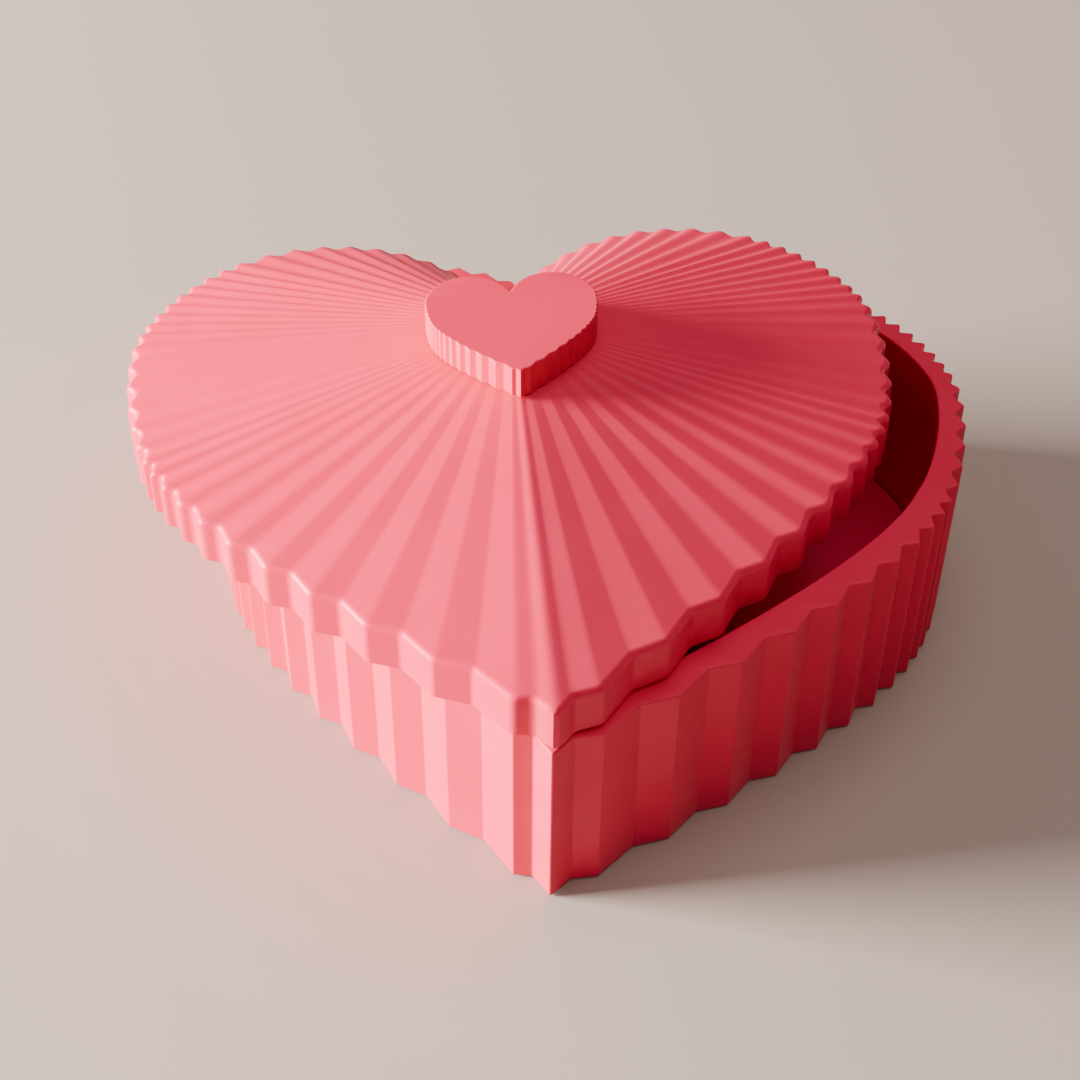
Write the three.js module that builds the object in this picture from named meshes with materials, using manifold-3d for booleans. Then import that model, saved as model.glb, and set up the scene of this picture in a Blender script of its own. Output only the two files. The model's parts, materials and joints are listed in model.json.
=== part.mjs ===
// Heart-shaped wind-up music box: a pleated box with a swivelling lid and an
// 18-note movement on a raised deck. Millimetres, +Z up. The origin is on the
// lid's pivot axis, on the plane that the box stands on; the heart's tip points
// to -Y and its lobes to +Y.
import * as THREE from "three";
import { mergeVertices } from "three/addons/utils/BufferGeometryUtils.js";
import Module from "manifold-3d";

const wasm = await Module();
wasm.setup();

// ---------------------------------------------------------------- dimensions
const GAP = 0.3; // between pieces that rest on each other
const RUN = 0.1; // radial clearance of a shaft in its hole
const CUT = 1; // how far a cutting solid runs past the face it opens

// Heart outline, measured from its tip
const PIVOT_INSET = 4; // pivot axis behind the tip
const PLEAT_CENTRE = 86.7; // where the lid's pleats meet
const FLUTE_DEPTH = 2.1;
const FLUTE_SKEW = 0.56; // valley's place between two ridges
const TIP_LEAD = { right: 0.4, left: 0.5 }; // share of the first flute cut off by the tip
const TIP_VALLEY = 0.032; // first valley, as a share of the first stretch
const NOTCH_FADE = 0.7; // share of the flutes' depth lost from lobe to notch
const CREST_HALF = 0.35; // half the flat on a ridge or valley
const FRONT_WALL = 7.1; // ridge line to the smooth inner wall, beside the tip
const LOBE_WALL = 5.3; // the same round the lobes
const TIP_BLOCK = 15; // solid corner that holds the pivot pin

// Box and lid heights
const BOX_H = 41.5;
const FLOOR_T = 3;
const RIM_BAND_H = 10.2;
const RIM_BEVEL = 1.0;
const CONE_RISE = 10.3;
const LID_SKIN = 3;
const KNOB_SCALE = 0.2187;
const KNOB_H = 6.5;
const LID_REST_ANGLE = 10.1; // degrees, lid swung open about its pin
const PIN_R = 1.25;
const PIN_IN_BOX = 14;
const PIN_IN_LID = 8;

// Deck that carries the movement over the key well
const DECK = { x: 0, y: 67.5, width: 62, depth: 50, corner: 6, top: 13.5, thickness: 2.5, wall: 2 };
const COVER = { fit: 0.3, wall: 1.6, top: 38.3 };
const ARBOR_HOLE_R = 3.4;
const SCREW_HOLE_R = 1.7;

// Movement, in its own frame: x along the cylinder, z from the bedplate's back
const MOVEMENT_X = -1;
const BED = { x0: -26, x1: 28, y0: -21.5, y1: 21.5, t: 2.4 };
const BARREL = { x: -14, y: 4, r: 11.5, wall: 0.6, h: 7 };
const CROWN = {
  teeth: 40, pitchR: 10.2, faceIn: 9.5, faceOut: 10.9, plate: 1.0, tooth: 1.1, mesh: 0.65,
};
const PINION = { teeth: 12, tipR: 3.48, rootR: 2.42, w: 1.4 };
const DRUM = { x0: -1, x1: 19, r: 6, pinOut: 0.5, notes: 18 };
const SPUR = { teeth: 36, module: 0.4, x0: 19.5, x1: 21 };
const GOV_PINION_TEETH = 9;
const WORM_WHEEL = { teeth: 20, pitchR: 4.2, x0: 22.2, x1: 23.2 };
const WORM = { starts: 2, pitchR: 1.6, coreR: 1.1, tipR: 1.9, half: 3.2 };
const COMB = { t: 0.8, back: -20.5, root: -12.5, tipGap: 0.15 };
const SHAFT_R = { spring: 1.6, cylinder: 0.8, governor: 0.6, worm: 0.5 };
const BRACKET_T = 1.2; // feet and walls of the brackets and the governor's frame
const SCREW = {
  knob: { headR: 2.9, headH: 1.8, shankR: 1.5 },
  mount: { headR: 2.8, headH: 1.6, shankR: 1.45 },
  comb: { headR: 2.2, headH: 1.5, shankR: 1.05 },
  bracket: { headR: 1.5, headH: 0.9, shankR: 0.9 },
};
const KNOB_SCREW_DEPTH = 4.4;
const MOUNT_SCREWS = [[-23, -17.5], [-23, 18.5], [24.5, -17.5]];
const COMB_SCREWS = [[3.5, -16.8], [14.5, -16.8]];
const BRACKET_SCREW = [22.5, -1];
const GOVERNOR_SCREW = [19.2, 18.4];

// Places that follow from the sizes above
const rad = THREE.MathUtils.degToRad;
const lidBase = BOX_H + GAP;
const bandTop = lidBase + RIM_BAND_H;
const coneTop = bandTop + CONE_RISE;
const pleatY = PLEAT_CENTRE - PIVOT_INSET;
const bedTop = BED.t;
const barrelTop = bedTop + GAP + BARREL.h;
const crownPlateTop = barrelTop + GAP + CROWN.plate;
const pinionPitchR = (CROWN.pitchR * PINION.teeth) / CROWN.teeth;
const axisZ = crownPlateTop + CROWN.mesh + pinionPitchR; // cylinder axis
const axisY = BARREL.y;
const spurPitchR = (SPUR.module * SPUR.teeth) / 2;
const govPinionR = (SPUR.module * GOV_PINION_TEETH) / 2;
const govY = axisY + 7.5;
const govZ = axisZ - Math.sqrt((spurPitchR + govPinionR) ** 2 - 7.5 ** 2);
const wormX = (WORM_WHEEL.x0 + WORM_WHEEL.x1) / 2;
const wormY = govY + WORM_WHEEL.pitchR + WORM.pitchR;
const meshAngle = Math.atan2(govZ - axisZ, govY - axisY); // from cylinder to governor

// ----------------------------------------------------------------- materials
function finish(color, roughness, metalness) {
  return () => new THREE.MeshStandardMaterial({ color, roughness, metalness });
}
const coral = finish(0xe4525c, 0.55, 0);
const steel = finish(0xb9bcc0, 0.3, 1);
const darkSteel = finish(0x6f7276, 0.4, 1);
const zinc = finish(0xa9abad, 0.5, 0.9);
const brass = finish(0xc9a24b, 0.35, 1);
const nylon = finish(0xe9e6dc, 0.5, 0);

// ------------------------------------------------------------ solid helpers
function toSolid(geometry) {
  const bare = geometry.clone();
  for (const name of Object.keys(bare.attributes)) {
    if (name !== "position") bare.deleteAttribute(name);
  }
  const merged = mergeVertices(bare, 1e-5);
  const vertProperties = new Float32Array(merged.attributes.position.array);
  const triVerts = new Uint32Array(merged.index.array);
  return new wasm.Manifold(new wasm.Mesh({ numProp: 3, vertProperties, triVerts }));
}

function toGeometry(solid) {
  const mesh = solid.getMesh();
  const geometry = new THREE.BufferGeometry();
  const position = new THREE.BufferAttribute(new Float32Array(mesh.vertProperties), 3);
  geometry.setAttribute("position", position);
  geometry.setIndex(Array.from(mesh.triVerts));
  geometry.computeVertexNormals();
  return geometry;
}

function piece(name, solid, material) {
  const mesh = new THREE.Mesh(toGeometry(solid), material());
  mesh.name = name;
  return mesh;
}

// Upright prism of a closed outline, a list of [x, y]
function prism(outline, z0, z1) {
  const shape = new THREE.Shape(outline.map(([x, y]) => new THREE.Vector2(x, y)));
  const geometry = new THREE.ExtrudeGeometry(shape, { depth: z1 - z0, bevelEnabled: false });
  return toSolid(geometry.translate(0, 0, z0));
}

// Closed skin through rings that have the same number of points
function loft(rings) {
  const count = rings[0].length;
  const positions = rings.flat().flatMap(([x, y, z]) => [x, y, z]);
  const index = [];
  for (let level = 0; level < rings.length - 1; level++) {
    for (let i = 0; i < count; i++) {
      const a = level * count + i;
      const b = level * count + ((i + 1) % count);
      index.push(a, b, b + count, a, b + count, a + count);
    }
  }
  const flat = (ring) => {
    const [o, p, q] = [ring[0], ring[1], ring[2]].map((v) => new THREE.Vector3(...v));
    const u = p.clone().sub(o).normalize();
    const n = u.clone().cross(q.clone().sub(o)).normalize();
    const w = n.clone().cross(u);
    return ring.map((v) => {
      const d = new THREE.Vector3(...v).sub(o);
      return new THREE.Vector2(d.dot(u), d.dot(w));
    });
  };
  for (const [level, outward] of [[0, false], [rings.length - 1, true]]) {
    const contour = flat(rings[level]);
    const reversed = THREE.ShapeUtils.isClockWise(contour);
    for (const [i, j, k] of THREE.ShapeUtils.triangulateShape(contour, [])) {
      const face = [i, j, k].map((v) => v + level * count);
      if (outward === reversed) face.reverse();
      index.push(...face);
    }
  }
  const geometry = new THREE.BufferGeometry();
  geometry.setAttribute("position", new THREE.Float32BufferAttribute(positions, 3));
  geometry.setIndex(index);
  return toSolid(geometry);
}

function level(outline, z) {
  return outline.map(([x, y]) => [x, y, z]);
}

function rod(x, y, z0, z1, r, sides = 24) {
  const geometry = new THREE.CylinderGeometry(r, r, z1 - z0, sides);
  return toSolid(geometry.rotateX(Math.PI / 2).translate(x, y, (z0 + z1) / 2));
}

// Rod along x
function shaft(x0, x1, y, z, r, sides = 24) {
  const geometry = new THREE.CylinderGeometry(r, r, x1 - x0, sides);
  return toSolid(geometry.rotateZ(Math.PI / 2).translate((x0 + x1) / 2, y, z));
}

// Running hole along x for a shaft of radius r, through material from x0 to x1
function bearing(x0, x1, y, z, r) {
  return shaft(x0 - CUT, x1 + CUT, y, z, r + RUN);
}

// Upright hole through material from z0 to z1
function drill(x, y, z0, z1, r, sides = 16) {
  return rod(x, y, z0 - CUT, z1 + CUT, r, sides);
}

function block(x0, x1, y0, y1, z0, z1) {
  const geometry = new THREE.BoxGeometry(x1 - x0, y1 - y0, z1 - z0);
  return toSolid(geometry.translate((x0 + x1) / 2, (y0 + y1) / 2, (z0 + z1) / 2));
}

function roundedRectangle(width, depth, corner, x = 0, y = 0, steps = 5) {
  const points = [];
  for (let quarter = 0; quarter < 4; quarter++) {
    const sx = quarter === 0 || quarter === 3 ? 1 : -1;
    const sy = quarter < 2 ? 1 : -1;
    const cx = x + sx * (width / 2 - corner);
    const cy = y + sy * (depth / 2 - corner);
    for (let i = 0; i <= steps; i++) {
      const angle = (quarter + i / steps) * (Math.PI / 2);
      points.push([cx + corner * Math.cos(angle), cy + corner * Math.sin(angle)]);
    }
  }
  return points;
}

// Plate in the y-z plane, cut from x0 to x1
function sidePlate(outline, x0, x1) {
  const turn = new THREE.Matrix4().makeBasis(
    new THREE.Vector3(0, 1, 0), new THREE.Vector3(0, 0, 1), new THREE.Vector3(1, 0, 0));
  const shape = new THREE.Shape(outline.map(([y, z]) => new THREE.Vector2(y, z)));
  const geometry = new THREE.ExtrudeGeometry(shape, { depth: x1 - x0, bevelEnabled: false });
  return toSolid(geometry.applyMatrix4(turn).translate(x0, 0, 0));
}

// Gear outline with straight-flanked teeth; tooth 0 points along +x at phase 0
function gearOutline(teeth, rootR, tipR, rootShare, tipShare, phase = 0) {
  const pitch = (2 * Math.PI) / teeth;
  const points = [];
  for (let i = 0; i < teeth; i++) {
    const centre = phase + i * pitch;
    const corners = [[rootR, -rootShare], [tipR, -tipShare], [tipR, tipShare], [rootR, rootShare]];
    for (const [r, offset] of corners) {
      const angle = centre + (offset * pitch) / 2;
      points.push([r * Math.cos(angle), r * Math.sin(angle)]);
    }
  }
  return points;
}

// Slotted pan-head screw; the head is at the top and the shank runs down
function screw({ headR, headH, shankR }, shankL) {
  const profile = [
    [0, -shankL], [shankR * 0.7, -shankL], [shankR, -shankL + 0.4], [shankR, 0],
    [headR, 0], [headR, headH * 0.6], [headR * 0.72, headH], [0, headH],
  ];
  const points = profile.map(([r, z]) => new THREE.Vector2(r, z));
  const body = toSolid(new THREE.LatheGeometry(points, 12).rotateX(Math.PI / 2));
  const slot = block(-headR - CUT, headR + CUT, -0.3, 0.3, headH * 0.5, headH + CUT);
  return body.subtract(slot);
}

// ------------------------------------------------------------ heart outlines
// Right half of the ridge line, tip to notch, as four cubic stretches, each with
// its number of flutes. The tip cuts the first flute short.
const HEART = [
  { flutes: 11, points: [[0, -1], [52.3, 37.3], [67.2, 57], [71.3, 68.2]] },
  { flutes: 7, points: [[71.3, 68.2], [74.9, 77.7], [76.9, 96.9], [73.4, 105.2]] },
  { flutes: 8, points: [[73.4, 105.2], [69.9, 113.5], [63.3, 122], [53.5, 126.9]] },
  { flutes: 10.5, points: [[53.5, 126.9], [33.9, 136.6], [8.8, 129.5], [0, 105.9]] },
];

function heartCurve(stretch) {
  return new THREE.CubicBezierCurve(...stretch.points.map(([x, y]) => new THREE.Vector2(x, y)));
}

// Point on a stretch, moved inwards by `inset` and forwards by `shift`
function heartPoint(curve, t, inset, shift = 0) {
  const at = curve.getPoint(t);
  const along = curve.getTangent(t);
  return [
    at.x - along.y * inset + along.x * shift,
    at.y + along.x * inset + along.y * shift - PIVOT_INSET,
  ];
}

// The same half turned over to the left, from notch to tip
function leftOf(half) {
  return half.filter(([x]) => x > 1e-6).map(([x, y]) => [-x, y]).reverse();
}

// Ridges and valleys of one half. Each is a short flat when `flats` is true, and
// one corner when it is false.
function flutes(tipLead, inset, flats) {
  const half = [];
  HEART.forEach((stretch, place) => {
    const curve = heartCurve(stretch);
    const lead = place === 0 ? tipLead : 0;
    const fade = place === HEART.length - 1 ? NOTCH_FADE : 0;
    for (let k = 0; k < stretch.flutes; k++) {
      for (const [at, isValley] of [[k + FLUTE_SKEW, true], [k + 1, false]]) {
        const share = (at - lead) / (stretch.flutes - lead);
        const t = isValley ? Math.max(share, TIP_VALLEY) : share;
        if (t > 1) continue;
        const depth = isValley ? FLUTE_DEPTH * (1 - fade * t) : 0;
        for (const shift of flats ? [-CREST_HALF, CREST_HALF] : [0]) {
          half.push(heartPoint(curve, t, depth + inset, shift));
        }
      }
    }
  });
  return half;
}

// Fluted outline, counter-clockwise from the tip
function flutedHeart(inset = 0, flats = true) {
  const notchY = HEART[HEART.length - 1].points[3][1];
  const notch = [0, notchY - PIVOT_INSET - FLUTE_DEPTH * (1 - NOTCH_FADE) - inset];
  const right = flutes(TIP_LEAD.right, inset, flats);
  const left = leftOf(flutes(TIP_LEAD.left, inset, flats));
  return [[0, -PIVOT_INSET + inset * 1.2], ...right, notch, ...left];
}

// Wall thickness at share t of a stretch: it thins from the front to the lobes
function wallAt(stretch, t) {
  if (stretch === 0) return FRONT_WALL;
  if (stretch === 1) return LOBE_WALL + (FRONT_WALL - LOBE_WALL) * (1 - t) ** 2;
  return LOBE_WALL;
}

// Smooth outline inside the wall, moved inwards by `extra`: it stops at the tip
// block, and an arc takes it round the notch
function innerHeart(extra = 0) {
  const half = HEART.flatMap((stretch, k) => {
    const curve = heartCurve(stretch);
    const steps = Math.round(stretch.flutes * 1.2);
    const shares = Array.from({ length: steps }, (_, i) => i / steps);
    return shares.map((t) => heartPoint(curve, t, wallAt(k, t) + extra));
  });
  const blockY = TIP_BLOCK - PIVOT_INSET + extra;
  const clear = half.filter(([x, y]) => x > 0 && y > blockY + 1);
  const [edgeX] = clear[0];
  const [notchX, notchY] = HEART[HEART.length - 1].points[3];
  const radius = LOBE_WALL + extra;
  const arc = [0, 0.25, 0.5, 0.75, 1].map((share) => {
    const angle = rad(-20 - 70 * share);
    return [notchX + radius * Math.cos(angle), notchY - PIVOT_INSET + radius * Math.sin(angle)];
  });
  arc[arc.length - 1][0] = 0;
  const right = [[0, blockY], [edgeX * 0.55, blockY], ...clear, ...arc];
  return [...right, ...leftOf(right)];
}

function scaledHeart(outline, scale) {
  return outline.map(([x, y]) => [x * scale, pleatY + (y - pleatY) * scale]);
}

// ------------------------------------------------------------- box and lid
// Fluted wall with a solid tip that holds the pivot pin
function boxBody() {
  const outer = prism(flutedHeart(), 0, BOX_H);
  const inside = prism(innerHeart(), -CUT, BOX_H + CUT);
  const pinHole = rod(0, 0, BOX_H - PIN_IN_BOX, BOX_H + CUT, PIN_R + RUN);
  return piece("box_body", outer.subtract(inside).subtract(pinHole), coral);
}

// Rounded rectangle round the deck's middle, larger than the deck by `grow`
function deckOutline(grow) {
  return roundedRectangle(
    DECK.width + 2 * grow, DECK.depth + 2 * grow, DECK.corner + grow, DECK.x, DECK.y);
}

// Plate let into the bottom of the box, open round the movement's deck
function floorPlate() {
  const plate = prism(innerHeart(GAP), 0, FLOOR_T);
  const opening = prism(deckOutline(GAP), -CUT, FLOOR_T + CUT);
  return piece("floor_plate", plate.subtract(opening), coral);
}

// Upturned tray that the movement stands on; the key turns in the well under it
function movementDeck() {
  const wellTop = DECK.top - DECK.thickness;
  const hole = (x, y, r, sides) => drill(x, y, wellTop, DECK.top, r, sides);
  let body = prism(deckOutline(0), 0, DECK.top);
  body = body.subtract(prism(deckOutline(-DECK.wall), -CUT, wellTop));
  body = body.subtract(hole(MOVEMENT_X + BARREL.x, DECK.y + BARREL.y, ARBOR_HOLE_R, 24));
  for (const [x, y] of MOUNT_SCREWS) {
    body = body.subtract(hole(MOVEMENT_X + x, DECK.y + y, SCREW_HOLE_R, 16));
  }
  return piece("movement_deck", body, coral);
}

// Plain cap that slips over the deck's sides and hides the movement
function movementCover() {
  const outside = prism(deckOutline(COVER.fit + COVER.wall), FLOOR_T + GAP, COVER.top);
  const inside = prism(deckOutline(COVER.fit), FLOOR_T - CUT, COVER.top - COVER.wall);
  return piece("movement_cover", outside.subtract(inside), coral);
}

function lidShell() {
  const rim = flutedHeart();
  const bevelled = flutedHeart(RIM_BEVEL);
  const top = scaledHeart(rim, KNOB_SCALE + 0.004);
  const outer = loft([
    level(rim, lidBase), level(rim, bandTop - RIM_BEVEL), level(bevelled, bandTop), level(top, coneTop),
  ]);
  const inner = innerHeart();
  const innerTop = scaledHeart(inner, KNOB_SCALE + 0.03);
  const hollow = loft([
    level(inner, lidBase - CUT), level(inner, bandTop - LID_SKIN), level(innerTop, coneTop - LID_SKIN),
  ]);
  const pinHole = rod(0, 0, lidBase - CUT, lidBase + PIN_IN_LID, PIN_R + RUN);
  const screwHole = drill(0, pleatY, coneTop - LID_SKIN, coneTop, SCREW_HOLE_R);
  return piece("lid_shell", outer.subtract(hollow).subtract(pinHole).subtract(screwHole), coral);
}

function knob() {
  const outline = scaledHeart(flutedHeart(0, false), KNOB_SCALE);
  const z0 = coneTop + GAP;
  const screwHole = rod(0, pleatY, z0 - CUT, z0 + KNOB_SCREW_DEPTH + 0.2, SCREW.knob.shankR + RUN, 16);
  return piece("knob", prism(outline, z0, z0 + KNOB_H).subtract(screwHole), coral);
}

function knobScrew() {
  const solid = screw(SCREW.knob, LID_SKIN + GAP + KNOB_SCREW_DEPTH).rotate([180, 0, 0]);
  return piece("knob_screw", solid.translate([0, pleatY, coneTop - LID_SKIN - RUN]), steel);
}

function pivotPin() {
  const z0 = BOX_H - PIN_IN_BOX + GAP;
  return piece("pivot_pin", rod(0, 0, z0, lidBase + PIN_IN_LID - GAP, PIN_R), steel);
}

// ---------------------------------------------------------------- movement
function bedplate() {
  const width = BED.x1 - BED.x0;
  const depth = BED.y1 - BED.y0;
  const outline = roundedRectangle(width, depth, 4, (BED.x0 + BED.x1) / 2, (BED.y0 + BED.y1) / 2, 4);
  const combTop = axisZ - COMB.t / 2 - 0.1;
  const combSeat = block(DRUM.x0 - 1, DRUM.x1 + 1, COMB.back, COMB.root - 0.5, bedTop - CUT, combTop);
  let body = prism(outline, 0, BED.t).add(combSeat);
  body = body.subtract(drill(BARREL.x, BARREL.y, 0, BED.t, SHAFT_R.spring + RUN, 24));
  for (const [x, y] of MOUNT_SCREWS) {
    body = body.subtract(drill(x, y, 0, BED.t, SCREW.mount.shankR + RUN));
  }
  for (const [x, y] of COMB_SCREWS) {
    body = body.subtract(rod(x, y, combTop - 6, combTop + CUT, SCREW.comb.shankR + RUN, 16));
  }
  return piece("bedplate", body, zinc);
}

function comb() {
  const z0 = axisZ - COMB.t / 2;
  const tipY = axisY - DRUM.r - DRUM.pinOut - COMB.tipGap;
  const pitch = (DRUM.x1 - DRUM.x0 - 1) / DRUM.notes;
  const outline = [[DRUM.x0 - 1, COMB.back], [DRUM.x1 + 1, COMB.back], [DRUM.x1 + 1, COMB.root - 2]];
  for (let i = DRUM.notes - 1; i >= 0; i--) {
    const x = DRUM.x0 + 0.5 + pitch * (i + 0.5);
    const root = COMB.root + 4.5 * (i / (DRUM.notes - 1));
    const half = pitch * 0.33;
    outline.push([x + half, root], [x + half * 0.7, tipY], [x - half * 0.7, tipY], [x - half, root]);
  }
  outline.push([DRUM.x0 - 1, COMB.root - 2]);
  let body = prism(outline, z0, z0 + COMB.t);
  for (const [x, y] of COMB_SCREWS) {
    body = body.subtract(drill(x, y, z0, z0 + COMB.t, SCREW.comb.shankR + GAP));
  }
  return piece("comb", body, steel);
}

function combScrews() {
  const z = axisZ + COMB.t / 2 + 0.1;
  return COMB_SCREWS.map(([x, y], i) => {
    const solid = screw(SCREW.comb, 6).translate([x, y, z]);
    return piece(`comb_screw_${i + 1}`, solid, steel);
  });
}

function mountingScrews() {
  const z = -GAP - DECK.thickness - RUN;
  return MOUNT_SCREWS.map(([x, y], i) => {
    const solid = screw(SCREW.mount, DECK.thickness + GAP + BED.t).rotate([180, 0, 0]);
    return piece(`mount_screw_${i + 1}`, solid.translate([x, y, z]), darkSteel);
  });
}

function springHousing() {
  const z0 = bedTop + GAP;
  const innerR = BARREL.r - BARREL.wall;
  const holeR = 3;
  const floorT = 0.8;
  const profile = [
    [holeR, 0], [BARREL.r, 0], [BARREL.r, BARREL.h], [innerR, BARREL.h], [innerR, floorT],
    [holeR, floorT], [holeR, 0],
  ];
  const points = profile.map(([r, z]) => new THREE.Vector2(r, z));
  const solid = toSolid(new THREE.LatheGeometry(points, 40).rotateX(Math.PI / 2));
  return piece("spring_housing", solid.translate([BARREL.x, BARREL.y, z0]), darkSteel);
}

// Flat spiral ribbon, wound from the arbor out to the housing's wall
function mainspring() {
  const turns = 4;
  const stepsPerTurn = 18;
  const ribbon = 0.35;
  const r0 = 2.8;
  const r1 = BARREL.r - BARREL.wall - 0.8;
  const outside = [];
  const inside = [];
  for (let i = 0; i <= turns * stepsPerTurn; i++) {
    const share = i / (turns * stepsPerTurn);
    const angle = share * turns * 2 * Math.PI;
    const r = r0 + (r1 - r0) * share;
    outside.push([(r + ribbon) * Math.cos(angle), (r + ribbon) * Math.sin(angle)]);
    inside.push([r * Math.cos(angle), r * Math.sin(angle)]);
  }
  const solid = prism([...outside, ...inside.reverse()], 0, BARREL.h - 1.6);
  return piece("mainspring", solid.translate([BARREL.x, BARREL.y, bedTop + GAP + 1.1]), steel);
}

// Arbor and great wheel, about their own axis
function springArbor() {
  const low = -DECK.top + 5.5;
  const plateZ = barrelTop + GAP;
  const body = rod(0, 0, low, plateZ + CROWN.plate + 0.8, SHAFT_R.spring)
    .add(rod(0, 0, bedTop + GAP + 1.1, plateZ - GAP, 2.3));
  return piece("spring_arbor", body, steel);
}

function greatWheel() {
  const z0 = barrelTop + GAP;
  let wheel = rod(0, 0, z0, crownPlateTop, CROWN.faceOut + 0.3, 40);
  const rootHalf = 0.27;
  const tipHalf = 0.15;
  const ring = (r) => [
    [r, -rootHalf, crownPlateTop - 0.3], [r, rootHalf, crownPlateTop - 0.3],
    [r, tipHalf, crownPlateTop + CROWN.tooth], [r, -tipHalf, crownPlateTop + CROWN.tooth],
  ];
  const tooth = loft([ring(CROWN.faceIn), ring(CROWN.faceOut)]);
  for (let i = 0; i < CROWN.teeth; i++) {
    wheel = wheel.add(tooth.rotate([0, 0, ((i + 0.5) * 360) / CROWN.teeth]));
  }
  const opening = drill(6.2, 0, z0, crownPlateTop, 1.9, 12);
  const openings = 5;
  for (let i = 0; i < openings; i++) {
    wheel = wheel.subtract(opening.rotate([0, 0, (i * 360) / openings]));
  }
  const hole = drill(0, 0, z0, crownPlateTop, SHAFT_R.spring + RUN, 24);
  return piece("great_wheel", wheel.subtract(hole), brass);
}

// Two-winged key on the arbor's lower end, inside the well
function windingKey() {
  const top = -DECK.thickness - GAP - 0.5;
  const bottom = -DECK.top - GAP + 1.6;
  const eye = { x: 7.6, z: (top + bottom) / 2 - 0.6, r: 3.4 };
  const neck = 2.5;
  const plateT = 1.8;
  const wing = new THREE.Shape();
  wing.moveTo(-neck, top - 1);
  wing.lineTo(-7, top - 2);
  wing.absarc(-eye.x, eye.z, eye.r, Math.PI / 2, (3 * Math.PI) / 2, false);
  wing.lineTo(-neck, bottom + 1.6);
  wing.lineTo(neck, bottom + 1.6);
  wing.absarc(eye.x, eye.z, eye.r, -Math.PI / 2, Math.PI / 2, false);
  wing.lineTo(7, top - 2);
  wing.lineTo(neck, top - 1);
  const plate = new THREE.ExtrudeGeometry(wing, { depth: plateT, bevelEnabled: false, curveSegments: 8 });
  plate.translate(0, 0, -plateT / 2).rotateX(Math.PI / 2);
  const hub = rod(0, 0, bottom, top, 3.1);
  const socket = rod(0, 0, -DECK.top + 5.2, top + CUT, SHAFT_R.spring + RUN);
  return piece("winding_key", toSolid(plate).add(hub).subtract(socket), darkSteel);
}

// Pieces on the cylinder's arbor, about the axis y = z = 0
function cylinderPinion() {
  const x0 = BARREL.x + (CROWN.faceIn + CROWN.faceOut) / 2 - PINION.w / 2;
  const outline = gearOutline(PINION.teeth, PINION.rootR, PINION.tipR, 0.56, 0.2, -Math.PI / 2);
  const hole = bearing(x0, x0 + PINION.w, 0, 0, SHAFT_R.cylinder);
  return piece("cylinder_pinion", sidePlate(outline, x0, x0 + PINION.w).subtract(hole), brass);
}

// Drum with four pins on each note's track, on an even scatter of its facets
function musicCylinder() {
  const facets = 48;
  const pinHalf = 0.18;
  let body = shaft(DRUM.x0, DRUM.x1, 0, 0, DRUM.r, facets);
  const pitch = (DRUM.x1 - DRUM.x0 - 1) / DRUM.notes;
  for (let note = 0; note < DRUM.notes; note++) {
    const x = DRUM.x0 + 0.5 + pitch * (note + 0.5);
    const pin = block(
      x - pinHalf, x + pinHalf, DRUM.r - 0.4, DRUM.r + DRUM.pinOut, -pinHalf, pinHalf);
    for (let beat = 0; beat < 4; beat++) {
      const facet = (note * 13 + beat * beat * 5 + beat * 11) % facets;
      body = body.add(pin.rotate([((facet + 0.5) * 360) / facets, 0, 0]));
    }
  }
  body = body.subtract(bearing(DRUM.x0, DRUM.x1, 0, 0, SHAFT_R.cylinder));
  return piece("music_cylinder", body, brass);
}

function cylinderArbor() {
  return piece("cylinder_arbor", shaft(-9.2, 25.6, 0, 0, SHAFT_R.cylinder), steel);
}

function cylinderGear() {
  const tipR = spurPitchR + 0.8 * SPUR.module;
  const rootR = spurPitchR - 0.45;
  const outline = gearOutline(SPUR.teeth, rootR, tipR, 0.5, 0.22, meshAngle);
  const hole = bearing(SPUR.x0, SPUR.x1, 0, 0, SHAFT_R.cylinder);
  return piece("cylinder_gear", sidePlate(outline, SPUR.x0, SPUR.x1).subtract(hole), brass);
}

function cylinderBridge() {
  const z0 = bedTop + GAP;
  const [x0, x1] = [-9, -7.4];
  const outline = [
    [-10.5, z0], [-8.5, z0], [-8.5, 13], [16.5, 13], [16.5, z0],
    [18.5, z0], [18.5, 15.4], [16.5, 17.2], [-8.5, 17.2], [-10.5, 15.4],
  ];
  const hole = bearing(x0, x1, axisY, axisZ, SHAFT_R.cylinder);
  return piece("cylinder_bridge", sidePlate(outline, x0, x1).subtract(hole), zinc);
}

function endBracket() {
  const z0 = bedTop + GAP;
  const x1 = 25.4;
  const x0 = x1 - BRACKET_T;
  const outline = [
    [-4, z0], [14.6, z0], [14.6, govZ + 1.2], [12.6, govZ + 2.4], [7, axisZ + 1.5],
    [5.5, axisZ + 2.4], [2.5, axisZ + 2.4], [1, axisZ + 1], [-4, z0 + 4],
  ];
  let body = sidePlate(outline, x0, x1).add(block(20.7, x1, -4, 5, z0, z0 + BRACKET_T));
  body = body.subtract(bearing(x0, x1, axisY, axisZ, SHAFT_R.cylinder));
  body = body.subtract(bearing(x0, x1, govY, govZ, SHAFT_R.governor));
  body = body.subtract(drill(...BRACKET_SCREW, z0, z0 + BRACKET_T, SCREW.bracket.shankR + 0.2));
  return piece("end_bracket", body, darkSteel);
}

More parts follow.
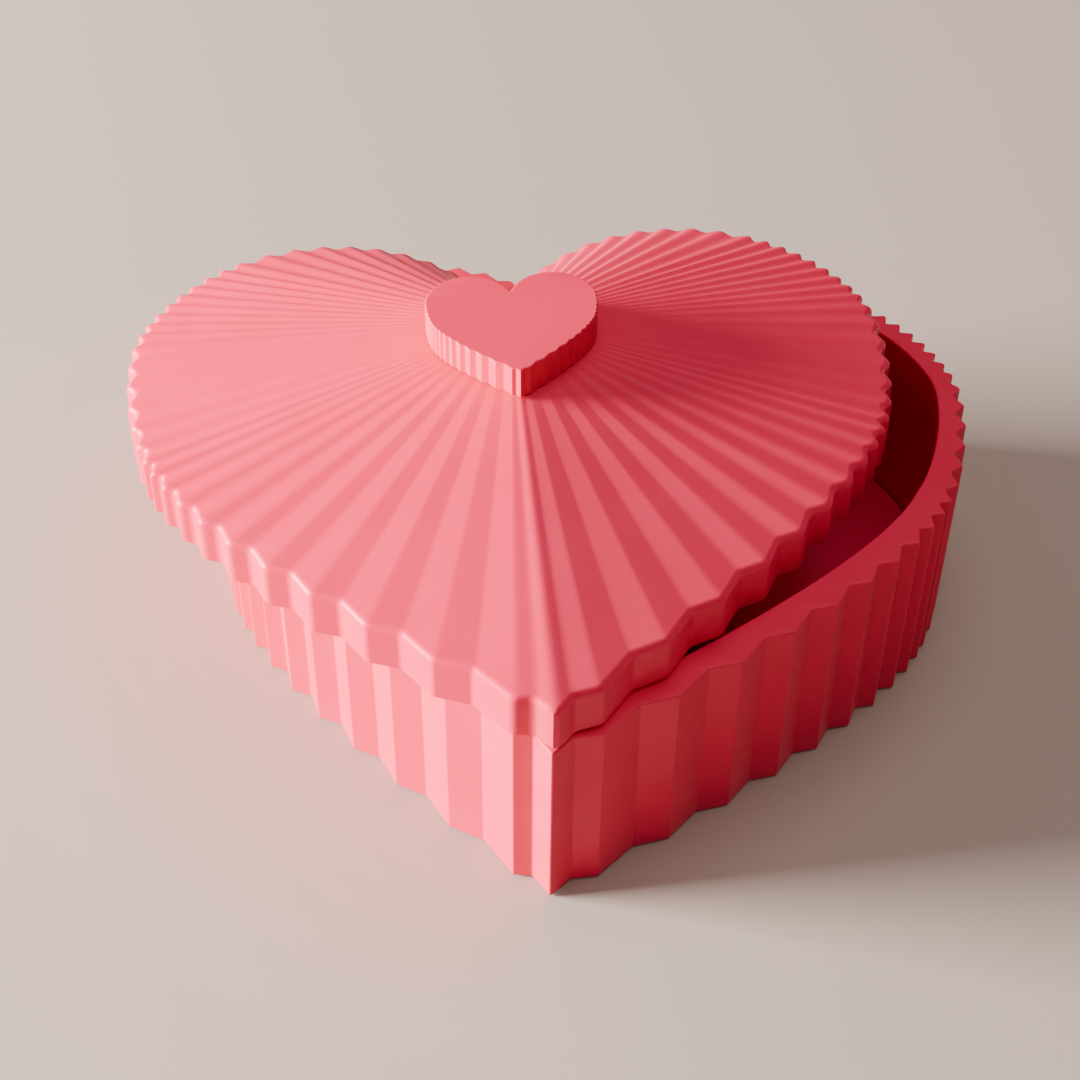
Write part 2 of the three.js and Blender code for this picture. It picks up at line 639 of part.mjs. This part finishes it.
function governorFrame() {
  const z0 = bedTop + GAP;
  const top = 17.2;
  const [left, right, front, rear] = [17, 23.9, 10.4, 21.2];
  const lugOutline = [
    [front, z0], [14.4, z0], [14.4, govZ + 1], [13, govZ + 2], [10.9, govZ + 2], [front, govZ],
  ];
  const base = block(left, right, front, rear, z0, z0 + BRACKET_T);
  const lug = sidePlate(lugOutline, left, left + BRACKET_T);
  const back = block(20.2, right, rear - 1, rear, z0, top);
  const arm = block(20.9, right, wormY - 1.7, rear, top - BRACKET_T, top);
  let body = base.add(lug).add(back).add(arm);
  body = body.subtract(bearing(left, left + BRACKET_T, govY, govZ, SHAFT_R.governor));
  body = body.subtract(drill(wormX, wormY, z0, top, SHAFT_R.worm + RUN));
  body = body.subtract(drill(...GOVERNOR_SCREW, z0, z0 + BRACKET_T, SCREW.bracket.shankR + 0.2));
  return piece("governor_frame", body, zinc);
}

function bracketScrews() {
  const z = bedTop + GAP + BRACKET_T + RUN;
  const places = { bracket_screw: BRACKET_SCREW, governor_screw: GOVERNOR_SCREW };
  return Object.entries(places).map(([name, [x, y]]) =>
    piece(name, screw(SCREW.bracket, BRACKET_T + RUN).translate([x, y, z]), steel));
}

// Pieces on the governor's arbor, about the axis y = z = 0
function governorPinion() {
  const phase = meshAngle + Math.PI + Math.PI / GOV_PINION_TEETH;
  const outline = gearOutline(GOV_PINION_TEETH, govPinionR - 0.5, govPinionR + 0.3, 0.52, 0.2, phase);
  const [x0, x1] = [SPUR.x0 - 0.1, SPUR.x1 + 0.1];
  const hole = bearing(x0, x1, 0, 0, SHAFT_R.governor);
  return piece("governor_pinion", sidePlate(outline, x0, x1).subtract(hole), steel);
}

function wormWheel() {
  const { teeth, pitchR, x0, x1 } = WORM_WHEEL;
  const outline = gearOutline(teeth, pitchR - 0.5, pitchR + 0.35, 0.44, 0.2);
  const hole = bearing(x0, x1, 0, 0, SHAFT_R.governor);
  return piece("worm_wheel", sidePlate(outline, x0, x1).subtract(hole), nylon);
}

function governorArbor() {
  return piece("governor_arbor", shaft(16.8, 25.6, 0, 0, SHAFT_R.governor), steel);
}

// Worm and spindle, about the axis x = y = 0; z = 0 is the wheel's height
function wormShaft() {
  const lead = (WORM.starts * 2 * Math.PI * WORM_WHEEL.pitchR) / WORM_WHEEL.teeth;
  const low = bedTop + GAP + 0.3 - govZ;
  const core = rod(0, 0, -WORM.half - 0.4, WORM.half + 0.4, WORM.coreR, 20);
  let body = rod(0, 0, low, 21.2 - govZ, SHAFT_R.worm, 16).add(core);
  const threaded = 2 * WORM.half - 1;
  const stepsPerTurn = 14;
  const steps = Math.round((threaded / lead) * stepsPerTurn);
  const rootR = WORM.coreR - 0.3;
  for (let start = 0; start < WORM.starts; start++) {
    const rings = [];
    for (let i = 0; i <= steps; i++) {
      const z = -threaded / 2 + (threaded * i) / steps;
      const angle = (2 * Math.PI * z) / lead + (2 * Math.PI * start) / WORM.starts;
      const at = (r, dz) => [r * Math.cos(angle), r * Math.sin(angle), z + dz];
      rings.push([at(rootR, 0.25), at(WORM.tipR, 0.13), at(WORM.tipR, -0.13), at(rootR, -0.25)]);
    }
    body = body.add(loft(rings));
  }
  return piece("worm_shaft", body, steel);
}

function flyBlades() {
  const height = 3.4;
  const hub = rod(0, 0, 0, height, 1.2, 16);
  const blades = block(-5, 5, -0.25, 0.25, 0.3, height);
  const body = hub.add(blades).subtract(drill(0, 0, 0, height, SHAFT_R.worm + RUN));
  return piece("fly_blades", body.translate([0, 0, 17.6 - govZ]), nylon);
}

// ---------------------------------------------------------------- assembly
function placed(meshes, x, y, z) {
  const group = new THREE.Group();
  group.position.set(x, y, z);
  group.add(...meshes);
  return group;
}

const lid = new THREE.Group();
lid.rotation.z = rad(LID_REST_ANGLE);
lid.add(lidShell(), knob(), knobScrew(), pivotPin());

const movement = new THREE.Group();
movement.position.set(MOVEMENT_X, DECK.y, DECK.top + GAP);
movement.add(
  bedplate(), comb(), ...combScrews(), ...mountingScrews(), springHousing(), mainspring(),
  cylinderBridge(), endBracket(), governorFrame(), ...bracketScrews(),
  placed([springArbor(), greatWheel(), windingKey()], BARREL.x, BARREL.y, 0),
  placed([cylinderPinion(), musicCylinder(), cylinderArbor(), cylinderGear()], 0, axisY, axisZ),
  placed([governorPinion(), wormWheel(), governorArbor()], 0, govY, govZ),
  placed([wormShaft(), flyBlades()], wormX, wormY, govZ),
);

const musicBox = new THREE.Group();
musicBox.add(boxBody(), floorPlate(), movementDeck(), movementCover(), lid, movement);

export default musicBox;
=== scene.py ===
"""Looks of the heart-shaped music box: pleated plastic box, lid and knob, and the metal movement inside."""
import json
import math

import bmesh
import bpy
from mathutils import Matrix, Vector
from mathutils.geometry import tessellate_polygon


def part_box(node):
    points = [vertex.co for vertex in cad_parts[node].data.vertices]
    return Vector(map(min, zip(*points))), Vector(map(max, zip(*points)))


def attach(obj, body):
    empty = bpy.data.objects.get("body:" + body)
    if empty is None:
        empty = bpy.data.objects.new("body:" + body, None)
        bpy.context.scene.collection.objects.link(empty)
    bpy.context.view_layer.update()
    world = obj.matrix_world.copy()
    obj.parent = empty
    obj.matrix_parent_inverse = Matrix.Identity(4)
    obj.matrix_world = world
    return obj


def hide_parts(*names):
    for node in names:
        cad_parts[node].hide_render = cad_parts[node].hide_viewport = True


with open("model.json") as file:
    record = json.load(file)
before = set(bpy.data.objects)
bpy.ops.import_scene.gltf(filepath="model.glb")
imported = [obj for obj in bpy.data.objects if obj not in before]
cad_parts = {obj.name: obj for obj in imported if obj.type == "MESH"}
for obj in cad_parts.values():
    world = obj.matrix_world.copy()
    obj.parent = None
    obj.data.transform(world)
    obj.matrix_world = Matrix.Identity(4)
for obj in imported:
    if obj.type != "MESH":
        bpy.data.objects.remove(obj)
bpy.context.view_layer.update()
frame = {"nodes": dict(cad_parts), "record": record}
nodes = frame["nodes"]

MM = 0.001

# ------------------------------------------------------------------ camera
CAMERA_AT = Vector((0.0151, -0.2394, 0.3348))
CAMERA_AZIMUTH = math.radians(4.26)
CAMERA_TILT = math.radians(45.6)
CAMERA_ROLL = math.radians(0.52)
CAMERA_LENS = 73.2  # millimetres, on a 36 mm sensor


def add_camera():
    data = bpy.data.cameras.new("camera")
    data.lens = CAMERA_LENS
    data.sensor_width = 36
    camera = bpy.data.objects.new("camera", data)
    turn = Matrix.Rotation(CAMERA_AZIMUTH, 4, "Z")
    tilt = Matrix.Rotation(math.pi / 2 - CAMERA_TILT, 4, "X")
    roll = Matrix.Rotation(CAMERA_ROLL, 4, "Z")
    camera.matrix_world = Matrix.Translation(CAMERA_AT) @ turn @ tilt @ roll
    bpy.context.scene.collection.objects.link(camera)
    bpy.context.scene.camera = camera


# ------------------------------------------------------------ heart outlines
# Millimetres, as in the CAD part. Each stretch of the right half: its number of
# flutes and the four points of its cubic. The tip cuts the first flute short.
HEART = [
    (11, [(0, -1), (52.3, 37.3), (67.2, 57), (71.3, 68.2)]),
    (7, [(71.3, 68.2), (74.9, 77.7), (76.9, 96.9), (73.4, 105.2)]),
    (8, [(73.4, 105.2), (69.9, 113.5), (63.3, 122), (53.5, 126.9)]),
    (10.5, [(53.5, 126.9), (33.9, 136.6), (8.8, 129.5), (0, 105.9)]),
]
LAST = len(HEART) - 1
NOTCH_Y = HEART[LAST][1][3][1]
PIVOT_INSET = 4
PLEAT_CENTRE = 82.7
FLUTE_DEPTH = 2.1
FLUTE_SKEW = 0.56
TIP_LEAD_RIGHT = 0.4
TIP_LEAD_LEFT = 0.5
TIP_VALLEY = 0.032
NOTCH_FADE = 0.7
FRONT_WALL = 7.1
LOBE_WALL = 5.3
TIP_BLOCK = 11
INNER_POINTS_PER_FLUTE = 2.4
NOTCH_ARC_FROM = -20  # degrees, of the round wall behind the notch
NOTCH_ARC_TURN = -70
NOTCH_ARC_STEPS = 8
KNOB_SCALE = 0.2187
LID_REST_ANGLE = math.radians(10.1)


def cubic(points, t):
    a, b, c, d = (Vector(p) for p in points)
    s = 1 - t
    at = a * s**3 + b * 3 * s * s * t + c * 3 * s * t * t + d * t**3
    along = (b - a) * s * s + (c - b) * 2 * s * t + (d - c) * t * t
    return at, along.normalized()


def heart_point(points, t, inset):
    at, along = cubic(points, t)
    return at.x - along.y * inset, at.y + along.x * inset - PIVOT_INSET


def left_of(half):
    return [(-x, y) for x, y in half if x > 1e-6][::-1]


def lobe_fade(place, t):
    """The flutes grow shallower from the lobe to the notch."""
    return 1 - NOTCH_FADE * t if place == LAST else 1


def flutes(tip_lead, inset, depth_share):
    """Ridge and valley corners of one half."""
    half = []
    for place, (count, points) in enumerate(HEART):
        lead = 0 if place else tip_lead
        for k in range(math.ceil(count)):
            for at, is_valley in ((k + FLUTE_SKEW, True), (k + 1, False)):
                t = (at - lead) / (count - lead)
                if is_valley:
                    t = max(t, TIP_VALLEY)
                if t <= 1:
                    depth = FLUTE_DEPTH * depth_share(place, t) if is_valley else 0
                    half.append(heart_point(points, t, depth + inset))
    return half


def fluted_heart(inset=0, depth_share=lobe_fade):
    """Ridge and valley corners, counter-clockwise from the tip."""
    tip = (0, -PIVOT_INSET + inset * 1.2)
    notch = (0, NOTCH_Y - PIVOT_INSET - FLUTE_DEPTH * depth_share(LAST, 1) - inset)
    right = flutes(TIP_LEAD_RIGHT, inset, depth_share)
    left = left_of(flutes(TIP_LEAD_LEFT, inset, depth_share))
    return [tip, *right, notch, *left]


def wall_at(stretch, t):
    """Wall thickness at share t of a stretch: it thins from the front to the lobes."""
    if stretch == 0:
        return FRONT_WALL
    if stretch == 1:
        return LOBE_WALL + (FRONT_WALL - LOBE_WALL) * (1 - t) ** 2
    return LOBE_WALL


def inner_heart(extra=0.0):
    """Smooth outline inside the wall, from the solid tip block round the notch."""
    clear = []
    for stretch, (count, points) in enumerate(HEART):
        steps = round(count * INNER_POINTS_PER_FLUTE)
        for i in range(steps):
            wall = wall_at(stretch, i / steps)
            x, y = heart_point(points, i / steps, wall)
            if x > 0 and y > TIP_BLOCK + 1:
                clear.append(heart_point(points, i / steps, wall + extra))
    block_y = TIP_BLOCK + extra
    notch_y = NOTCH_Y - PIVOT_INSET
    radius = LOBE_WALL + extra
    arc = []
    for i in range(NOTCH_ARC_STEPS + 1):
        angle = math.radians(NOTCH_ARC_FROM + NOTCH_ARC_TURN * i / NOTCH_ARC_STEPS)
        arc.append((radius * math.cos(angle), notch_y + radius * math.sin(angle)))
    arc[-1] = (0, arc[-1][1])
    right = [(0, block_y), (clear[0][0] * 0.55, block_y), *clear, *arc]
    return right + left_of(right)


CORNER_SHARE = 0.42  # of a side, the most that rounding a corner may take


def rounded(outline, radius, steps=3):
    """Each corner of a closed outline becomes a curve of steps + 1 points."""
    out = []
    count = len(outline)
    for i in range(count):
        at = Vector(outline[i])
        before = Vector(outline[i - 1]) - at
        after = Vector(outline[(i + 1) % count]) - at
        turn = math.pi - before.angle(after)
        longest = CORNER_SHARE * min(before.length, after.length)
        reach = min(radius * math.tan(turn / 2), longest)
        start = at + before.normalized() * reach
        end = at + after.normalized() * reach
        for k in range(steps + 1):
            t = k / steps
            point = start * (1 - t) ** 2 + at * 2 * t * (1 - t) + end * t * t
            out.append((point.x, point.y))
    return out


def scaled_heart(outline, scale):
    return [(x * scale, PLEAT_CENTRE + (y - PLEAT_CENTRE) * scale) for x, y in outline]


def circle(x, y, radius, sides=32):
    angles = [2 * math.pi * i / sides for i in range(sides)]
    return [(x + radius * math.cos(a), y + radius * math.sin(a)) for a in angles]


def rounded_rectangle(x, y, width, depth, corner, steps=8):
    points = []
    for quarter, (sx, sy) in enumerate([(1, 1), (-1, 1), (-1, -1), (1, -1)]):
        cx = x + sx * (width / 2 - corner)
        cy = y + sy * (depth / 2 - corner)
        for i in range(steps + 1):
            angle = (quarter + i / steps) * math.pi / 2
            points.append((cx + corner * math.cos(angle), cy + corner * math.sin(angle)))
    return points


# -------------------------------------------------------------- mesh helpers
SHARP_ANGLE = math.radians(32)


class Shell:
    """A closed mesh made of level rings (millimetres), walls between them and flat faces."""

    def __init__(self):
        self.mesh = bmesh.new()

    def ring(self, outline, z):
        return [self.mesh.verts.new((x, y, z)) for x, y in outline]

    def wall(self, *rings):
        for low, high in zip(rings, rings[1:]):
            count = len(low)
            for i in range(count):
                j = (i + 1) % count
                self.mesh.faces.new((low[i], low[j], high[j], high[i]))

    def face(self, outer, *holes):
        loops = [outer, *holes]
        corners = [v for loop in loops for v in loop]
        for triangle in tessellate_polygon([[v.co for v in loop] for loop in loops]):
            self.mesh.faces.new([corners[i] for i in triangle])

    def finish(self, name, angle=0.0):
        bmesh.ops.recalc_face_normals(self.mesh, faces=self.mesh.faces)
        data = bpy.data.meshes.new(name)
        self.mesh.to_mesh(data)
        self.mesh.free()
        data.transform(Matrix.Rotation(angle, 4, "Z") @ Matrix.Scale(MM, 4))
        data.shade_smooth()
        data.set_sharp_from_angle(angle=SHARP_ANGLE)
        piece = bpy.data.objects.new(name, data)
        bpy.context.scene.collection.objects.link(piece)
        weighted = piece.modifiers.new("weighted normals", "WEIGHTED_NORMAL")
        weighted.keep_sharp = True
        return piece


def edge_rings(shell, outline_at, radius, z, way, steps=3, first=0, last=90):
    """Rings that round an edge: `outline_at(inset)` shrinks while z rises (way 1) or falls (way -1)."""
    rings = []
    for i in range(steps + 1):
        angle = math.radians(first + (last - first) * i / steps)
        inset = radius * (1 - math.cos(angle))
        rings.append(shell.ring(outline_at(inset), z + way * radius * (math.sin(angle) - 1)))
    return rings


def soft_edges(node, width, segments=2):
    """Rounds a CAD node's edges without touching its mesh."""
    thing = nodes[node]
    weld = thing.modifiers.new("weld", "WELD")
    weld.merge_threshold = 1e-6
    flat = thing.modifiers.new("flat", "DECIMATE")
    flat.decimate_type = "DISSOLVE"
    flat.angle_limit = math.radians(1)
    bevel = thing.modifiers.new("bevel", "BEVEL")
    bevel.width = width * MM
    bevel.segments = segments
    bevel.limit_method = "ANGLE"
    bevel.angle_limit = math.radians(30)
    bevel.use_clamp_overlap = True


# ----------------------------------------------------------------- materials
NOISE_RANGE = (0.3, 0.7)  # where a noise's values mostly lie


class Recipe:
    """Short names for building a node material."""

    def __init__(self, name, color, roughness, metallic=0.0):
        self.material = bpy.data.materials.new(name)
        self.material.use_nodes = True
        self.tree = self.material.node_tree
        self.shader = self.tree.nodes["Principled BSDF"]
        self.shader.inputs["Base Color"].default_value = (*color, 1)
        self.shader.inputs["Roughness"].default_value = roughness
        self.shader.inputs["Metallic"].default_value = metallic
        coordinates = self.tree.nodes.new("ShaderNodeTexCoord")
        self.place = coordinates.outputs["Object"]

    def link(self, source, target):
        self.tree.links.new(source, target)

    def noise(self, scale, detail=3, stretch=(1, 1, 1)):
        mapping = self.tree.nodes.new("ShaderNodeMapping")
        mapping.inputs["Scale"].default_value = stretch
        node = self.tree.nodes.new("ShaderNodeTexNoise")
        node.inputs["Scale"].default_value = scale
        node.inputs["Detail"].default_value = detail
        self.link(self.place, mapping.inputs["Vector"])
        self.link(mapping.outputs["Vector"], node.inputs["Vector"])
        return node.outputs["Fac"]

    def spread(self, source, low, high):
        node = self.tree.nodes.new("ShaderNodeMapRange")
        node.inputs["From Min"].default_value = NOISE_RANGE[0]
        node.inputs["From Max"].default_value = NOISE_RANGE[1]
        node.inputs["To Min"].default_value = low
        node.inputs["To Max"].default_value = high
        self.link(source, node.inputs["Value"])
        return node.outputs["Result"]

    def blend(self, source, dark, light):
        ramp = self.tree.nodes.new("ShaderNodeValToRGB")
        low, high = ramp.color_ramp.elements
        low.position, high.position = NOISE_RANGE
        low.color = (*dark, 1)
        high.color = (*light, 1)
        self.link(source, ramp.inputs["Fac"])
        self.link(ramp.outputs["Color"], self.shader.inputs["Base Color"])

    def rough(self, source, low, high):
        self.link(self.spread(source, low, high), self.shader.inputs["Roughness"])

    def bump(self, source, height):
        node = self.tree.nodes.new("ShaderNodeBump")
        node.inputs["Distance"].default_value = height
        node.inputs["Strength"].default_value = 1
        self.link(source, node.inputs["Height"])
        self.link(node.outputs["Normal"], self.shader.inputs["Normal"])


def coral_plastic():
    recipe = Recipe("coral_plastic", (0.79, 0.018, 0.073), 0.36)
    recipe.blend(recipe.noise(55, 2), (0.77, 0.016, 0.069), (0.81, 0.020, 0.077))
    recipe.rough(recipe.noise(400), 0.33, 0.39)
    recipe.bump(recipe.noise(4500, 2), 0.00001)
    recipe.shader.inputs["Specular IOR Level"].default_value = 0.3
    recipe.shader.inputs["Specular Tint"].default_value = (1.0, 0.4, 0.45, 1)
    return recipe.material


def metal(name, dark, light, low, high, stretch, height=0.000004):
    recipe = Recipe(name, light, (low + high) / 2, 1.0)
    recipe.blend(recipe.noise(260, 4), dark, light)
    grain = recipe.noise(1500, 4, stretch)
    recipe.rough(grain, low, high)
    recipe.bump(grain, height)
    return recipe.material


def nylon():
    recipe = Recipe("nylon", (0.80, 0.78, 0.70), 0.45)
    recipe.blend(recipe.noise(200, 2), (0.76, 0.74, 0.66), (0.82, 0.80, 0.73))
    recipe.bump(recipe.noise(5000, 2), 0.000006)
    recipe.shader.inputs["Subsurface Weight"].default_value = 0.1
    recipe.shader.inputs["Subsurface Scale"].default_value = 0.001
    return recipe.material


def floor_paint():
    recipe = Recipe("floor_paint", (0.42, 0.33, 0.265), 0.8)
    recipe.blend(recipe.noise(3, 2), (0.41, 0.32, 0.255), (0.43, 0.34, 0.275))
    return recipe.material


# -------------------------------------------------------------------- pieces
EDGE = 0.45  # rounding of the box's rim and the mouldings' lower edges
RIM_ROUND = 1.5  # the lid's upper edge
RIM_ROUND_END = 82  # degrees, where the rounding meets the cone
KNOB_EDGE = 0.25
RIDGE_ROUND = 0.5  # ridges and valleys of the box's wall
LID_RIDGE_ROUND = 2.3
KNOB_RIDGE_ROUND = 0.2

GAP = 0.3
DECK = (0, 67.5, 62, 50, 6)  # centre, width, depth and corner radius
DECK_WALL = 2
DECK_THICKNESS = 2.5
PIN_HOLE = (0, 0, 1.35)
PIN_DEPTH = 14  # of the hole in the box
PIN_DEPTH_LID = 8
ARBOR_HOLE = (-15, 71.5, 3.4)
SCREW_HOLES = [(-24, 50, 1.7), (-24, 86, 1.7), (23.5, 50, 1.7)]
FILLET = 1.5


def deck_outline(grow):
    x, y, width, depth, corner = DECK
    return rounded_rectangle(x, y, width + 2 * grow, depth + 2 * grow, corner + grow)


def build_box():
    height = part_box("box_body")[1].z / MM
    shell = Shell()

    def outer(inset):
        return rounded(fluted_heart(inset), RIDGE_ROUND)

    foot = edge_rings(shell, outer, EDGE, 0, -1)[::-1]
    rim = edge_rings(shell, outer, EDGE, height, 1)
    shell.wall(*foot, *rim)
    lip = edge_rings(shell, lambda inset: inner_heart(-inset), EDGE, height, 1)[::-1]
    sole = edge_rings(shell, lambda inset: inner_heart(-inset), GAP, 0, -1)
    shell.wall(*lip, *sole)
    pin_hole = [shell.ring(circle(*PIN_HOLE), z) for z in (height, height - PIN_DEPTH)]
    shell.wall(*pin_hole)
    shell.face(pin_hole[1])
    shell.face(rim[-1], lip[0], pin_hole[0])
    shell.face(foot[0], sole[-1])
    return shell.finish("pleated_box")


def build_floor():
    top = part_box("floor_plate")[1].z / MM
    shell = Shell()
    foot = edge_rings(shell, lambda inset: inner_heart(GAP + inset), GAP, 0, -1)[::-1]
    brim = edge_rings(shell, lambda inset: inner_heart(GAP + inset), GAP, top, 1)
    shell.wall(*foot, *brim)
    opening = [shell.ring(deck_outline(GAP), z) for z in (0, top)]
    shell.wall(*opening)
    shell.face(foot[0], opening[0])
    shell.face(brim[-1], opening[1])
    return shell.finish("floor_panel")


def build_deck():
    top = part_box("movement_deck")[1].z / MM
    ceiling_z = top - DECK_THICKNESS
    shell = Shell()
    foot = edge_rings(shell, lambda inset: deck_outline(-inset), GAP, 0, -1)[::-1]
    brim = edge_rings(shell, lambda inset: deck_outline(-inset), EDGE, top, 1)
    shell.wall(*foot, *brim)
    mouth = edge_rings(shell, lambda inset: deck_outline(inset - DECK_WALL), EDGE, 0, -1)[::-1]
    ceiling = edge_rings(
        shell, lambda inset: deck_outline(-inset - DECK_WALL), FILLET, ceiling_z, 1)
    shell.wall(*mouth, *ceiling)
    shell.face(foot[0], mouth[0])
    holes = []
    for x, y, radius in [ARBOR_HOLE, *SCREW_HOLES]:
        hole = [shell.ring(circle(x, y, radius), z) for z in (top, ceiling_z)]
        shell.wall(*hole)
        holes.append(hole)
    shell.face(brim[-1], *[hole[0] for hole in holes])
    shell.face(ceiling[-1], *[hole[1] for hole in holes])
    return shell.finish("deck_tray")


LID_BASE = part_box("lid_shell")[0].z / MM
CONE_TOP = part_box("lid_shell")[1].z / MM
CONE_HEIGHT = 10.3
BAND_TOP = CONE_TOP - CONE_HEIGHT
LID_SKIN = 3
CONE_STEPS = 10
PEAK_SCALE = KNOB_SCALE + 0.004
CEILING_SCALE = KNOB_SCALE + 0.03


def build_lid():
    shell = Shell()

    def rim(inset):
        return rounded(fluted_heart(inset), LID_RIDGE_ROUND)

    skirt = [shell.ring(rim(EDGE), LID_BASE), shell.ring(rim(0), LID_BASE + EDGE)]
    shoulder = edge_rings(shell, rim, RIM_ROUND, BAND_TOP, 1, 5, 0, RIM_ROUND_END)
    start = fluted_heart(RIM_ROUND)
    peak = scaled_heart(fluted_heart(), PEAK_SCALE)
    cone = []
    for step in range(1, CONE_STEPS + 1):
        t = step / CONE_STEPS
        outline = [Vector(a).lerp(Vector(b), t) for a, b in zip(start, peak)]
        radius = LID_RIDGE_ROUND * (1 - t + KNOB_SCALE * t)
        cone.append(shell.ring(rounded(outline, radius), BAND_TOP + CONE_HEIGHT * t))
    shell.wall(*skirt, *shoulder, *cone)
    shell.face(cone[-1])
    hollow_rim = inner_heart()
    hollow_top = scaled_heart(hollow_rim, CEILING_SCALE)
    mouth = shell.ring(inner_heart(-EDGE), LID_BASE)
    lip = shell.ring(hollow_rim, LID_BASE + EDGE)
    shoulder_in = shell.ring(hollow_rim, BAND_TOP - LID_SKIN)
    ceiling = shell.ring(hollow_top, CONE_TOP - LID_SKIN)
    shell.wall(mouth, lip, shoulder_in, ceiling)
    shell.face(ceiling)
    hole = shell.ring(circle(*PIN_HOLE), LID_BASE)
    hole_end = shell.ring(circle(*PIN_HOLE), LID_BASE + PIN_DEPTH_LID)
    shell.wall(hole, hole_end)
    shell.face(hole_end)
    shell.face(skirt[0], mouth, hole)
    return shell.finish("pleated_lid", LID_REST_ANGLE)


def knob_fade(place, t):
    """The knob's flutes are clear beside its tip and nearly gone round its lobes."""
    return 0.15 + 0.7 * (1 - (place + t) / len(HEART)) ** 2


def build_knob():
    low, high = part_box("knob")
    shell = Shell()

    def side(inset):
        outline = fluted_heart(inset / KNOB_SCALE, knob_fade)
        return rounded(scaled_heart(outline, KNOB_SCALE), KNOB_RIDGE_ROUND)

    base = shell.ring(side(0), low.z / MM)
    top = edge_rings(shell, side, KNOB_EDGE, high.z / MM, 1)
    shell.wall(base, *top)
    shell.face(top[-1])
    shell.face(base)
    return shell.finish("heart_knob", LID_REST_ANGLE)


def dress(piece, body, node, material):
    piece.data.materials.clear()
    piece.data.materials.append(material)
    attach(piece, body)
    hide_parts(node)


# --------------------------------------------------------------------- stage
def add_floor():
    bpy.ops.mesh.primitive_plane_add(size=4, location=(0, 0, -0.0002))
    floor = bpy.context.object
    floor.name = "floor"
    floor.data.materials.append(floor_paint())


def add_light(name, at, aim, power, size, color=(1, 1, 1)):
    data = bpy.data.lights.new(name, "AREA")
    data.energy = power
    data.shape = "SQUARE"
    data.size = size
    data.color = color
    light = bpy.data.objects.new(name, data)
    light.location = at
    light.rotation_euler = (Vector(aim) - Vector(at)).to_track_quat("-Z", "Y").to_euler()
    bpy.context.scene.collection.objects.link(light)


def add_world(color, strength):
    world = bpy.data.worlds.new("world")
    world.use_nodes = True
    background = world.node_tree.nodes["Background"]
    background.inputs["Color"].default_value = (*color, 1)
    background.inputs["Strength"].default_value = strength
    bpy.context.scene.world = world


# ------------------------------------------------------------------ assembly
SLOT_MATERIALS = {
    "coral_plastic": coral_plastic(),
    "steel": metal("steel", (0.50, 0.51, 0.53), (0.62, 0.63, 0.65), 0.22, 0.38, (1, 1, 12)),
    "dark_steel": metal("dark_steel", (0.14, 0.145, 0.15), (0.22, 0.225, 0.235), 0.32, 0.5, (1, 1, 6)),
    "zinc": metal("zinc", (0.36, 0.37, 0.39), (0.47, 0.48, 0.50), 0.42, 0.6, (1, 1, 1), 0.000008),
    "brass": metal("brass", (0.66, 0.46, 0.16), (0.80, 0.58, 0.24), 0.2, 0.36, (14, 1, 1)),
    "nylon": nylon(),
}
for row in frame["record"]["subparts"]:
    thing = nodes[row["node"]]
    thing.data.materials.clear()
    thing.data.materials.append(SLOT_MATERIALS[row["material_slot"]])

SOFT_EDGES = {  # millimetres
    "movement_cover": 0.5,
    "winding_key": 0.35,
    "bedplate": 0.25,
    "cylinder_bridge": 0.25,
    "end_bracket": 0.25,
    "governor_frame": 0.2,
}
for node, width in SOFT_EDGES.items():
    soft_edges(node, width)

CORAL = SLOT_MATERIALS["coral_plastic"]
dress(build_box(), "box", "box_body", CORAL)
dress(build_floor(), "box", "floor_plate", CORAL)
dress(build_deck(), "box", "movement_deck", CORAL)
dress(build_lid(), "lid", "lid_shell", CORAL)
dress(build_knob(), "lid", "knob", CORAL)

add_camera()
add_floor()
add_world((1.0, 0.95, 0.93), 0.18)
add_light("key", (-1.28, -0.05, 0.30), (0, 0.06, 0.05), 158, 0.5, (1.0, 0.98, 0.99))
add_light("fill", (0.2, 0.2, 1.25), (0, 0.06, 0.02), 8, 1.0, (1.0, 0.90, 0.93))
